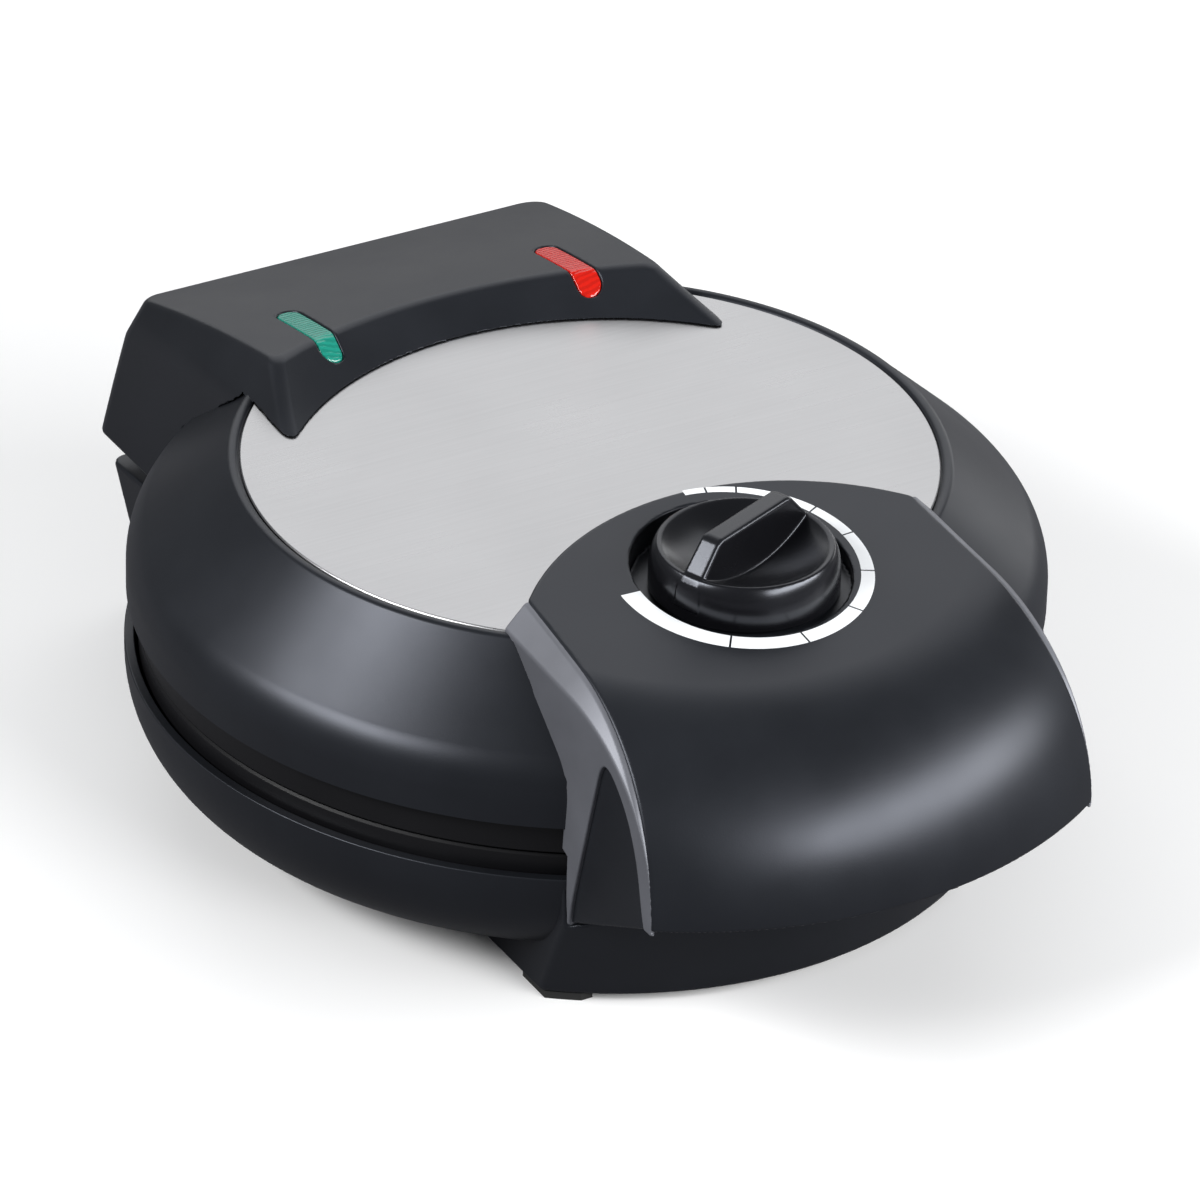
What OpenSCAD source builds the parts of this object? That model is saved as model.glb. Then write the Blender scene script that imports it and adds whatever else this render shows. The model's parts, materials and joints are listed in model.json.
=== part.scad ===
// Electric donut maker: round clamshell, hinged at the rear, with a knob on the front handle.
// Z is up and the feet stand on z = 0. The front, with the handle, is towards -Y.

/* [Round body] */
// Outer radius of the lid
lid_r = 115; // [114.5:0.1:115.2]
// Outer radius of the base bowl
base_r = 115.5; // [115.2:0.1:116]
// Height of the bowl's rim
base_rim_z = 39.2; // [38.5:0.1:39.4]
// Height of the lid's lower rim
lid_rim_z = 53.5; // [53:0.1:55]
// Height of the steel disc's top
top_z = 90; // [89.9:0.1:90.1]
// Wall thickness of the mouldings
wall = 2.6; // [2.2:0.1:2.8]

/* [Steel disc] */
// Radius of the steel disc on the lid
disc_r = 86.9; // [85:0.1:87.5]
// Thickness of the steel disc
disc_t = 1; // [0.8:0.1:1]

/* [Front handle] */
// Distance from the body's axis to the front tip of the handle
reach_front = 156.2; // [155:0.1:157]
// Radius of the handle's front edge, seen from above
handle_front_r = 114.7; // [114:0.1:116]
// Radius of the handle cover's rear edge, seen from above
handle_rear_r = 73.4; // [73:0.1:74]
// Half width across the side trims
trim_x = 62.2; // [62:0.1:62.5]
// Height of the cover's front lower edge
handle_lip_z = 48; // [47.8:0.1:48.5]
// Slope of the handle's top face, rising to the rear
top_slope = 0.11; // [0.1:0.01:0.12]

/* [Rear housing] */
// Distance from the body's axis to the rear wall of the hinge housing
reach_rear = 139; // [138.5:0.1:139]
// Half width of the hinge housing
housing_x = 67; // [66:0.1:68]
// Distance from the body's axis to the hinge pin
hinge_y = 129.5; // [129.3:0.1:129.6]
// Height of the hinge pin
hinge_z = 50.5; // [50.4:0.1:50.8]
// Radius of the hinge pin
pin_r = 2.5; // [2.3:0.1:2.6]

/* [Knob] */
// Radius of the knob's rim
knob_r = 21.5; // [21:0.1:22]
// Height of the knob's grip bar above the dial plane
bar_top = 15.6; // [15:0.1:17]
// Width of the knob's grip bar
bar_w = 6; // [5:0.5:7]
// Direction of the pointer, counted from +X towards +Y
pointer_angle = 22; // [20:1:32]
// Radius of the thermostat's shaft
shaft_r = 3; // [2.9:0.1:3.1]

/* [Baking plates] */
// Outer radius of each cast plate
plate_r = 112; // [111.5:0.1:112.2]
// Height of the plane between the closed plates
parting_z = 44.2; // [44.1:0.1:44.3]
// Gap between the closed plates
parting_gap = 0.4; // [0.3:0.1:0.5]
// Number of ring cavities around the middle one
rings = 6; // [6:1:6]
// Distance from the middle cavity to the others
ring_pitch = 60; // [60:0.1:60.5]
// Radius of the circle along which the dough ring runs
ring_r = 17; // [16.5:0.1:17]
// Radius of the dough ring's cross-section
dough_r = 10; // [9:0.1:10]
// Wall of the cast plate
cast_t = 2.8; // [2.6:0.1:2.8]

/* [Heaters] */
// Radius of the tubular heater
tube_r = 3.25; // [3:0.05:3.3]
// Angle covered by the heater ring
heater_arc = 320; // [300:1:325]

/* [Cord inlet] */
// Radius of the hole for the mains lead
cord_hole_r = 3.6; // [3.4:0.1:3.8]

/* [Hidden] */
$fn = 96;

// The origin is below the middle of the whole object, so the body's axis sits behind it.
axis_y = (reach_front - reach_rear) / 2;

black = [0.10, 0.10, 0.11];
grey = [0.33, 0.34, 0.37];
steel = [0.80, 0.80, 0.80];
dark_metal = [0.20, 0.20, 0.21];
screw_steel = [0.65, 0.65, 0.66];

big = 400;
eps = 0.05;

// Lid section
slope_sum = 181.7;
shoulder_r = 16;
shoulder_z = slope_sum - lid_r - shoulder_r * (sqrt(2) - 1);
shoulder_c = lid_r - shoulder_r;
bead_out = 96.5;
bead_top = top_z + 1;
seat_r = disc_r + 1.5;
seat_z = top_z - disc_t;
deck_in = 62;
deck_t = 2.6;

// Bowl section
bowl_corner_z = 36;
bowl_flat_r = 94.5;
bowl_bottom_z = 11;
floor_in = 58;

// Lower grip
grip_x = 62;
grip_c = -10;
grip_foot_z = 2;
grip_foot_r = 100;
grip_lean = 0.332;
grip_top_z = 42;
seam_y = -99.9;
seam_z = 28.2;
seam_slope = 0.526;
seam_gap = 1;

// Rear block
block_x = 65.7;
block_foot_x = 61;
block_foot_y = 124.8;
block_lean = 0.247;
block_top_z = 37.6;

// Handle cover
rear_c = -40 - handle_rear_r;
front_c = handle_front_r - reach_front;
crown_len = 58;
crown_h = 49.2;
dial_y = -73;
dial_z = 96.2;
cover_t = 2.4;
tilt = atan(top_slope);
ridge = [[54, -60], [54.2, -66], [55.4, -86], [56.6, -102], [58.3, -118], [60.2, -130], [61.7, -137.6], [65, -165]];

// Knob and its recess, whose middle lies a little behind the knob's axis
knob_y = -74.4;
recess_shift = 1.6;
dial_s = -0.7;
recess_r = 27;
recess_depth = 3.4;
recess_floor = 1.6;
skirt_r = 23.3;
knob_foot = dial_s - recess_depth + 0.5;
rim_s = 8;
dish_s = 2.1;
dish_r = 39.5;
bore_depth = 5;

// Hinge
knuckle_r = 5;
base_ear_x = 36;
base_ear_w = 8;
lid_ear_x = 45.5;
lid_ear_w = 6;
pin_half = 53;
running_gap = 0.05;

// Baking plates
face_lower = parting_z - parting_gap / 2;
face_upper = parting_z + parting_gap / 2;
post_r_pos = 70;
post_angles = [30, 150, 210, 330];
post_r = 4.5;
boss_len = 20.3;
mount_len = 19;
heater_depth = 16.5;
heater_r = ring_pitch;
sheet_t = 0.8;
foil_low_z = face_lower - cast_t - boss_len - sheet_t;
foil_high_z = face_upper + cast_t + boss_len;

module at_body() {
    translate([0, axis_y, 0]) children();
}

// Frame of the knob, whose axis is upright, with z = 0 at the dial's height.
module over_dial() {
    translate([0, knob_y, dial_z]) children();
}

module at_dial() {
    at_body() over_dial() children();
}

// Frame of a plate: z runs from the baking face into the casting.
module at_lower_plate() {
    at_body() translate([0, 0, face_lower]) mirror([0, 0, 1]) children();
}

module at_upper_plate() {
    at_body() translate([0, 0, face_upper]) children();
}

function arc(cx, cy, rx, ry, from, to, steps) =
    [for (i = [0 : steps]) let (a = from + (to - from) * i / steps) [cx + rx * cos(a), cy + ry * sin(a)]];

module side_profile(points, half_width) {
    translate([-half_width, 0, 0]) rotate([90, 0, 90]) linear_extrude(2 * half_width) polygon(points);
}

// A screw with its head's seat at z = 0 and its shank down to -length.
module screw(length, r = 1.6, head_r = 3.2, head_h = 2) {
    difference() {
        union() {
            translate([0, 0, -length]) cylinder(r = r, h = length, $fn = 24);
            cylinder(r = head_r, h = head_h, $fn = 32);
        }
        for (a = [0, 90])
            rotate([0, 0, a]) translate([-head_r * 0.65, -0.4, head_h / 2]) cube([head_r * 1.3, 0.8, head_h]);
    }
}

module around(angles, radius) {
    for (a = angles) rotate([0, 0, a]) translate([radius, 0, 0]) children();
}

// ---------- lid ----------

function lid_outer() = concat(
    [[lid_r, lid_rim_z]],
    arc(shoulder_c, shoulder_z, shoulder_r, shoulder_r, 0, 45, 8),
    [[bead_out, slope_sum - bead_out], [93.6, 88.6], [92.3, 90.4], [91.3, bead_top], [90.2, bead_top]]
);

// The space under the lid's outer surface, as one solid of revolution, grown by gap.
module lid_envelope(gap) {
    rotate_extrude() polygon(concat(
        [[0, 30], [lid_r + gap, 30]],
        [for (p = lid_outer()) [p[0] + gap, p[1] + gap * 0.4]],
        [[seat_r, bead_top + gap * 0.4], [seat_r - 0.6, top_z + gap * 0.4], [0, top_z + gap * 0.4]]
    ));
}

// Outside of the cup in the handle cover that the knob sits in.
module dial_cup_outer(gap) {
    translate([0, recess_shift, dial_s - recess_depth - recess_floor - gap])
        cylinder(r = recess_r + cover_t + gap, h = 20);
}

module lid_shell() {
    inner = lid_r - wall;
    inner_sum = slope_sum - wall * sqrt(2);
    color(black) at_body() difference() {
        union() {
            rotate_extrude() polygon(concat(
                lid_outer(),
                [[seat_r + 0.3, bead_top - 0.7], [seat_r, seat_z], [deck_in, seat_z], [deck_in, seat_z - deck_t]],
                [[inner_sum - (seat_z - deck_t), seat_z - deck_t]],
                arc(shoulder_c, shoulder_z, shoulder_r - wall, shoulder_r - wall, 45, 0, 8),
                [[inner, lid_rim_z]]
            ));
            // posts that hold the baking plate
            around(post_angles, post_r_pos)
                translate([0, 0, foil_high_z + sheet_t]) cylinder(r = post_r, h = seat_z - 1 - foil_high_z - sheet_t);
        }
        around(post_angles, post_r_pos) {
            translate([0, 0, foil_high_z]) cylinder(r = 2.2, h = 30);
            translate([0, 0, foil_high_z + sheet_t + 4]) cylinder(r = 3.6, h = 30);
        }
        // room for the dial's cup and the thermostat's collar
        over_dial() {
            dial_cup_outer(0.1);
            translate([0, 0, -18]) cylinder(r = 8, h = 12);
        }
        // holes for the screws of the hinge bracket
        for (a = [75, 105])
            rotate([0, 0, a]) translate([105, 0, lid_rim_z + 4.5]) rotate([0, 90, 0]) cylinder(r = 2.2, h = 20);
    }
}

module top_disc() {
    edge = 0.6;
    color(steel) at_body() difference() {
        rotate_extrude() polygon([
            [0, seat_z], [disc_r, seat_z], [disc_r, top_z - edge], [disc_r - 0.2, top_z - 0.2],
            [disc_r - edge, top_z], [0, top_z]
        ]);
        // under the handle cover the disc leaves room for the thermostat
        translate([0, rear_c, 80]) cylinder(r = handle_rear_r - 8, h = 20);
    }
}

// ---------- rear housing ----------

// Corner points of the housing, moved inwards by t.
function housing_points(t) = [
    for (side = [-1, 1], p = [
        [54.3, 64.1, 99.6], [58.5, 130.5, 84.6],
        [63.2, 66, 89], [64.6, 131, 74.5],
        [60, 41, 90.2], [housing_x - 0.5, 58, 80],
        [housing_x, 100, 60], [housing_x, 131.5, 52],
        [housing_x - 1.4, 134.4, 44.6], [housing_x - 1.4, 70, 44.6],
        [58, reach_rear, 44.6], [58.5, 136.4, 60],
        [housing_x - 3.5, 40, 60]
    ]) [
        side * (p[0] - t),
        p[1] - (p[1] > 100 ? t : -t),
        p[2] - (p[2] > 60 ? t : (p[2] < 50 ? 4 * t : 0))
    ]
];

module point_cloud(points) {
    hull() for (p = points) translate(p) cube(0.02, center = true);
}

// The arched front wall leans back, from the disc up to the housing's top face.
module arch_cone(grow) {
    translate([0, -18.5, top_z - 10]) cylinder(r1 = 70 + grow, r2 = 112 + grow, h = 29.9);
}

module housing_solid(t) {
    difference() {
        point_cloud(housing_points(t));
        arch_cone(t);
    }
}

lens_x = 37.5;
bracket_bar_low = lid_rim_z + 0.5;
bracket_bar_top = bracket_bar_low + 12;
cover_screw_seat = 60;

module lens_column(side, grow) {
    hull() for (y = [66.5, 88])
        translate([side * lens_x, y, 80]) cylinder(r = 3.2 + grow, h = 25, $fn = 32);
}

module rear_cover() {
    slot_w = base_ear_w + 2;
    color(black) at_body() difference() {
        union() {
            difference() {
                housing_solid(0);
                housing_solid(wall);
            }
            for (side = [-1, 1]) translate([side * 20, 119, bracket_bar_top + 0.1]) cylinder(r = 4, h = 20);
        }
        lid_envelope(0.1);
        for (side = [-1, 1]) {
            lens_column(side, 0.05);
            translate([side * base_ear_x - slot_w / 2, 132, 40]) cube([slot_w, 12, 13.6]);
            translate([side * 20, 119, 60]) cylinder(r = 1.6, h = 22, $fn = 24);
        }
    }
}

module lens(side) {
    intersection() {
        difference() {
            housing_solid(0.15);
            housing_solid(wall + 0.6);
        }
        lens_column(side, -0.05);
    }
}

module ready_lens() {
    color([0.10, 0.75, 0.62]) at_body() lens(-1);
}

module power_lens() {
    color([0.90, 0.10, 0.08]) at_body() lens(1);
}

lamp_r = 2.4;
lamp_y = 94.5;
lamp_z = 84.6;

module lamp(side, grow) {
    translate([side * lens_x, lamp_y, lamp_z]) rotate([-90, 0, 0]) cylinder(r = lamp_r + grow, h = 10, $fn = 32);
}

module indicator_lamps() {
    color([1.0, 0.75, 0.5]) at_body() for (side = [-1, 1]) {
        lamp(side, 0);
        translate([side * lens_x, lamp_y, lamp_z]) sphere(r = lamp_r, $fn = 32);
    }
}

// Each holder stands on the lid's slope and grips one lamp.
module lamp_holders() {
    holder_w = 10;
    color([0.75, 0.72, 0.66]) at_body() for (side = [-1, 1]) difference() {
        translate([side * lens_x - holder_w / 2, lamp_y + 3, 70]) cube([holder_w, 5, lamp_z + 3 - 70]);
        lamp(side, 0.01);
        lid_envelope(0.1);
    }
}

module rear_cover_screws() {
    color(screw_steel) at_body() for (side = [-1, 1])
        translate([side * 20, 119, cover_screw_seat]) rotate([180, 0, 0]) screw(14);
}

// ---------- front handle ----------

module cover_plan(t) {
    intersection() {
        translate([0, rear_c]) circle(r = handle_rear_r - t, $fn = 180);
        translate([0, front_c]) circle(r = handle_front_r - t, $fn = 180);
        polygon(concat(
            [for (p = ridge) [p[0] - t, p[1]]],
            [for (i = [len(ridge) - 1 : -1 : 0]) [t - ridge[i][0], ridge[i][1]]],
            [[t - 54, -30], [54 - t, -30]]
        ));
    }
}

// The crown falls from the flat top to the front edge along a quarter ellipse.
module cover_crown(t) {
    rx = crown_len - t;
    rz = crown_h - t;
    cx = handle_front_r - crown_len;
    translate([0, front_c, 0]) rotate_extrude($fn = 180) polygon(concat(
        [[0, 20], [cx + rx, 20]],
        arc(cx, handle_lip_z, rx, rz, 0, 90, 14),
        [[0, handle_lip_z + rz + 4]]
    ));
}

module under_top_face(t) {
    translate([0, dial_y, dial_z - t]) rotate([tilt, 0, 0]) translate([-100, -120, -100]) cube([200, 200, 100]);
}

module cover_solid(t, low) {
    intersection() {
        translate([0, 0, low]) linear_extrude(60) cover_plan(t);
        cover_crown(t);
        under_top_face(t);
    }
}

handle_bosses = [[46, -127, 79], [22, -140, 74.5]];

module front_cover() {
    color(black) difference() {
        union() {
            at_body() difference() {
                cover_solid(0, handle_lip_z);
                cover_solid(cover_t, handle_lip_z - 1);
                lid_envelope(0.1);
            }
            at_body() intersection() {
                cover_solid(0, handle_lip_z);
                over_dial() dial_cup_outer(0);
            }
            // bosses for the screws of the liner
            at_body() for (side = [-1, 1], b = handle_bosses)
                translate([side * b[0], b[1], handle_lip_z + 1]) cylinder(r = 3.6, h = b[2] - handle_lip_z - 1);
        }
        at_dial() {
            translate([0, recess_shift, dial_s - recess_depth]) cylinder(r = recess_r, h = 20);
            translate([0, 0, -20]) cylinder(r = 4.2, h = 40);
        }
        at_body() for (side = [-1, 1], b = handle_bosses)
            translate([side * b[0], b[1], handle_lip_z]) cylinder(r = 1.4, h = 14, $fn = 24);
    }
}

// Side view of a trim: a band along the cover's edge that splits into two legs.
trim_outline = [
    [-62.4, 99], [-62.4, 84], [-92, 62], [-99.3, 50], [-100.4, 28.6], [-101.8, 29.8], [-103.8, 39], [-106.4, 50],
    [-109, 62], [-111, 71], [-112.2, 77], [-113.8, 79], [-115.8, 78.6], [-119, 76.8], [-124, 71.8], [-128.4, 65.5],
    [-131.2, 58], [-133.4, 50.5], [-134.6, 47.7], [-137.6, 47.7], [-137.6, 56], [-135.4, 64], [-131.5, 71.5],
    [-126.5, 78], [-119, 84.6], [-110, 89.6], [-102, 92.4], [-94, 94.4], [-86, 95.6], [-78, 96.6], [-70, 97.1]
];

// What a trim's two legs leave open between them, filled by the liner's cheeks.
cheek_outline = [
    [-101.8, 29.8], [-103.8, 39], [-106.4, 50], [-109, 62], [-111, 71], [-112.2, 77], [-113.8, 79], [-115.8, 78.6],
    [-119, 76.8], [-124, 71.8], [-128.4, 65.5], [-131.2, 58], [-133.4, 50.5], [-134.6, 46.5]
];

liner_x = 61.2;
leg_x = 59.4;

module trim(side) {
    scale([side, 1, 1]) difference() {
        intersection() {
            translate([50, 0, 0]) rotate([90, 0, 90]) linear_extrude(trim_x - 50) polygon(trim_outline);
            // the band leans outwards from the cover's edge
            translate([55.6, 0, 97]) rotate([0, -28, 0]) translate([-20, -200, -90]) cube([20, 200, 120]);
        }
        translate([0, 0, 20]) linear_extrude(90) cover_plan(-0.1);
        lid_envelope(0.1);
        // below the cover the legs lie on the liner
        translate([50, -150, 20]) cube([leg_x - 50, 90, handle_lip_z - 20]);
    }
}

module left_trim() {
    color(grey) at_body() mirror([1, 0, 0]) trim(1);
}

module right_trim() {
    color(grey) at_body() trim(1);
}

module liner_solid(t, top, half_width) {
    difference() {
        intersection() {
            side_profile([
                [seam_y + 3 + t, top], [seam_y + t, seam_z + 2 * t], [seam_y - 36.2, seam_z + 36.2 * seam_slope + t],
                [-reach_front, seam_z + 36.2 * seam_slope + t], [-reach_front, top]
            ], half_width - t);
            translate([0, front_c, 0]) cylinder(r = handle_front_r - cover_t - 0.4 - t, h = 90, $fn = 180);
        }
        cylinder(r = base_r + 0.8 + t, h = 90, $fn = 180);
    }
}

liner_top = handle_lip_z + 0.9;
liner_t = 2;
handle_seats = [43.9, 47.24];

// Tray that closes the handle from below. Its top fits into the cover, and its cheeks lie beside it.
module handle_liner() {
    color(black) at_body() difference() {
        union() {
            difference() {
                union() {
                    liner_solid(0, handle_lip_z - 0.1, liner_x);
                    intersection() {
                        liner_solid(0, liner_top, liner_x);
                        linear_extrude(90) cover_plan(cover_t + 0.4);
                    }
                }
                liner_solid(liner_t, handle_lip_z + 2, leg_x);
            }
            // bosses that meet those of the cover
            intersection() {
                for (side = [-1, 1]) translate([side * handle_bosses[0][0], handle_bosses[0][1], 20]) cylinder(r = 5, h = 40);
                liner_solid(0, liner_top, leg_x);
            }
            intersection() {
                for (side = [-1, 1]) translate([side * 60 - 4, 0, 0]) side_profile(cheek_outline, 4);
                difference() {
                    translate([-liner_x, -150, handle_lip_z - 2]) cube([2 * liner_x, 60, 60]);
                    translate([0, 0, 20]) linear_extrude(90) cover_plan(-0.1);
                }
            }
        }
        for (side = [-1, 1], i = [0, 1]) translate([side * handle_bosses[i][0], handle_bosses[i][1], 20]) {
            cylinder(r = 1.9, h = 40, $fn = 24);
            cylinder(r = 3.1, h = handle_seats[i] - 20, $fn = 32);
        }
        // the trims' legs lie in the tray's sides
        for (side = [-1, 1]) mirror([side < 0 ? 1 : 0, 0, 0])
            translate([leg_x, 0, 0]) rotate([90, 0, 90]) linear_extrude(5) polygon(trim_outline);
    }
}

module handle_screws() {
    color(screw_steel) at_body() for (side = [-1, 1], i = [0, 1])
        translate([side * handle_bosses[i][0], handle_bosses[i][1], handle_seats[i]])
            rotate([180, 0, 0]) screw(14, 1.4, 2.6, 1.2);
}

// ---------- knob ----------

hub_r = 6.5;

// The grip bar stands in a round dish, and its ends run down to the rim.
module knob() {
    rim_in = knob_r - 0.9;
    rim_angle = asin(rim_in / dish_r);
    bar_half = 13.6;
    bar_foot = knob_r - 0.4;
    color(black) at_dial() difference() {
        union() {
            rotate_extrude() polygon(concat(
                [[0, knob_foot], [skirt_r - 0.8, knob_foot], [skirt_r - 0.4, knob_foot + 0.6], [skirt_r, -0.6]],
                [[skirt_r, 1.8], [skirt_r - 0.4, 4], [knob_r + 0.7, 6.4], [knob_r + 0.2, rim_s - 0.3]],
                [[knob_r - 0.1, rim_s], [rim_in, rim_s]],
                arc(0, dish_s + dish_r, dish_r, dish_r, rim_angle - 90, -90, 6)
            ));
            rotate([0, 0, pointer_angle]) rotate([90, 0, 0]) translate([0, 0, -bar_w / 2]) linear_extrude(bar_w) polygon([
                [-bar_foot, dish_s - 0.5], [-bar_foot, rim_s - 0.3], [-bar_half - 0.8, bar_top - 0.8], [-bar_half, bar_top],
                [bar_half, bar_top], [bar_half + 0.8, bar_top - 0.8], [bar_foot, rim_s - 0.3], [bar_foot, dish_s - 0.5]
            ]);
        }
        translate([0, 0, knob_foot - 1]) cylinder(r = shaft_r, h = bore_depth + 1);
        // hollow underside around the hub
        difference() {
            translate([0, 0, knob_foot - 1]) cylinder(r = skirt_r - 2, h = 5);
            translate([0, 0, knob_foot - 2]) cylinder(r = hub_r, h = 8);
        }
    }
}

module thermostat_shaft() {
    reach = 13;
    color(steel) at_dial() translate([0, 0, -reach]) cylinder(r = shaft_r, h = reach + knob_foot + bore_depth);
}

// Open ring that tightens the knob's hub on the shaft.
module knob_spring() {
    color(screw_steel) at_dial() difference() {
        translate([0, 0, knob_foot + 0.5]) cylinder(r = hub_r + 0.8, h = 2.4);
        translate([0, 0, knob_foot]) cylinder(r = hub_r, h = 4);
        translate([0, -1.5, knob_foot]) cube([9, 3, 4]);
    }
}

// ---------- baking plates ----------

module ring_places() {
    children();
    for (i = [0 : rings - 1]) rotate([0, 0, i * 360 / rings]) translate([ring_pitch, 0, 0]) children();
}

// One cast plate with its baking face at z = 0 and its back towards +z.
module cast_plate(skirt, mount_boss) {
    difference() {
        union() {
            rotate_extrude() polygon([
                [0, 0], [plate_r - 0.6, 0], [plate_r, 0.5], [plate_r, skirt],
                [plate_r - wall, skirt], [plate_r - wall, cast_t], [0, cast_t]
            ]);
            ring_places() rotate_extrude() intersection() {
                translate([ring_r, 0]) circle(r = dough_r + cast_t, $fn = 64);
                translate([0, 0.5]) square([60, 40]);
            }
            // ring boss that carries the heater
            translate([0, 0, cast_t - 1]) difference() {
                cylinder(r = heater_r + tube_r + 2.4, h = heater_depth - cast_t + 1);
                translate([0, 0, -1]) cylinder(r = heater_r - tube_r - 2.4, h = 40);
            }
            around(post_angles, post_r_pos) cylinder(r = post_r, h = cast_t + boss_len);
            if (mount_boss)
                translate([0, -post_r_pos, 0]) cylinder(r = 6.5, h = cast_t + mount_len);
        }
        ring_places() rotate_extrude() intersection() {
            translate([ring_r, 0]) circle(r = dough_r, $fn = 64);
            translate([0, -1]) square([60, 40]);
        }
        rotate_extrude() translate([heater_r, heater_depth]) circle(r = tube_r + 0.1, $fn = 48);
        around(post_angles, post_r_pos) translate([0, 0, cast_t + 4]) cylinder(r = 1.85, h = boss_len);
        if (mount_boss)
            translate([0, -post_r_pos, cast_t + mount_len - 8]) cylinder(r = 1.7, h = 9);
        // groove that lets crumbs and steam out of the rim
        rotate_extrude() translate([plate_r - 7, 0]) circle(r = 1.2, $fn = 24);
    }
}

module heater() {
    turn = (360 - heater_arc) / 2;
    union() {
        rotate([0, 0, 90 + turn]) rotate_extrude(angle = heater_arc)
            translate([heater_r, heater_depth]) circle(r = tube_r, $fn = 48);
        for (s = [-1, 1]) rotate([0, 0, 90 + s * turn]) translate([heater_r, 0, heater_depth])
            rotate([s * 90, 0, 0]) {
                cylinder(r = tube_r, h = 2, $fn = 48);
                cylinder(r = 1.5, h = 13, $fn = 24);
            }
    }
}

module heater_clip() {
    difference() {
        translate([-8.5, -4, 0]) cube([17, 8, tube_r + 2]);
        translate([0, 6, 0]) rotate([90, 0, 0]) cylinder(r = tube_r + 0.1, h = 12, $fn = 48);
        translate([-tube_r - 0.1, -6, -3]) cube([2 * tube_r + 0.2, 12, 3]);
    }
}

module heater_clips() {
    around([0, 120, 240], heater_r) translate([0, 0, heater_depth]) heater_clip();
}

module reflector_sheet(z, hole_front) {
    difference() {
        translate([0, 0, z]) rotate_extrude() polygon([
            [0, 0], [94, 0], [100, -6], [102, -6], [102, -5.2], [100.4, -5.2], [94.4, sheet_t], [0, sheet_t]
        ]);
        around(post_angles, post_r_pos) translate([0, 0, z - 1]) cylinder(r = 2.4, h = 3);
        if (hole_front)
            translate([0, -post_r_pos, z - 1]) cylinder(r = 16, h = 3);
        // slot for the heater's cold ends
        translate([-30, heater_r - 8, z - 1]) cube([60, 14, 3]);
    }
}

module lower_plate() {
    color(dark_metal) at_lower_plate() cast_plate(7, false);
}

module upper_plate() {
    color(dark_metal) at_upper_plate() cast_plate(8.4, true);
}

module lower_element() {
    color([0.45, 0.42, 0.40]) at_lower_plate() heater();
}

module upper_element() {
    color([0.45, 0.42, 0.40]) at_upper_plate() heater();
}

module lower_element_clips() {
    color(screw_steel) at_lower_plate() heater_clips();
}

module upper_element_clips() {
    color(screw_steel) at_upper_plate() heater_clips();
}

module lower_reflector() {
    color(steel) at_lower_plate() reflector_sheet(cast_t + boss_len, false);
}

module upper_reflector() {
    color(steel) at_upper_plate() reflector_sheet(cast_t + boss_len, true);
}

module lower_plate_screws() {
    head_seat = bowl_bottom_z + 3;
    color(screw_steel) at_body() around(post_angles, post_r_pos)
        translate([0, 0, head_seat]) rotate([180, 0, 0]) screw(15, 1.8, 3.2, 2);
}

module upper_plate_screws() {
    head_seat = foil_high_z + sheet_t + 4;
    color(screw_steel) at_body() around(post_angles, post_r_pos)
        translate([0, 0, head_seat]) screw(14, 1.8, 3.2, 2);
}

// ---------- thermostat ----------

thermo_half = 11;

module thermostat() {
    color([0.85, 0.83, 0.78]) at_dial() difference() {
        union() {
            translate([-thermo_half, -9, -27.4]) cube([2 * thermo_half, 18, 13]);
            translate([0, 0, -14.4]) cylinder(r = 5, h = 4.4);
            for (side = [-1, 1]) translate([side * 9 - 3.2, 8, -24]) cube([6.4, 7, 0.8]);
        }
        translate([0, 0, -18]) cylinder(r = shaft_r + running_gap, h = 10);
    }
}

thermo_seat = face_upper + cast_t + mount_len;

module thermostat_bracket() {
    sheet = 1.2;
    color(steel) at_body() difference() {
        union() {
            translate([-thermo_half - sheet, -post_r_pos - 8, thermo_seat]) cube([2 * (thermo_half + sheet), 16, sheet]);
            for (side = [-1, 1])
                translate([side * (thermo_half + sheet / 2) - sheet / 2, -post_r_pos - 7.6, thermo_seat])
                    cube([sheet, 11, 13]);
        }
        translate([0, -post_r_pos, thermo_seat - 1]) cylinder(r = 1.8, h = 4, $fn = 24);
    }
}

module thermostat_screws() {
    color(screw_steel) at_body() translate([0, -post_r_pos, thermo_seat + 1.2]) screw(8, 1.6, 3, 0.9);
}

fuse_z = cast_t + boss_len - 3;

module thermal_fuse() {
    color([0.80, 0.78, 0.70]) at_upper_plate() translate([-7, 34, fuse_z])
        rotate([0, 90, 0]) cylinder(r = 2, h = 14, $fn = 32);
}

module fuse_clip() {
    color(screw_steel) at_upper_plate() difference() {
        translate([-3, 30, fuse_z - 3]) cube([6, 8, 6]);
        translate([-7, 34, fuse_z]) rotate([0, 90, 0]) cylinder(r = 2, h = 14, $fn = 32);
    }
}

// ---------- hinge ----------

module ear(width, bore, outline) {
    translate([-width / 2, 0, 0]) rotate([90, 0, 90]) linear_extrude(width) difference() {
        union() {
            translate([hinge_y, hinge_z]) circle(r = knuckle_r, $fn = 64);
            polygon(outline);
        }
        translate([hinge_y, hinge_z]) circle(r = bore, $fn = 48);
    }
}

foot_plate_z = 25.6;
foot_plate_t = 2.4;
bracket_screw_x = [-48, -14, 14, 48];
bracket_screw_y = 121;

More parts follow.
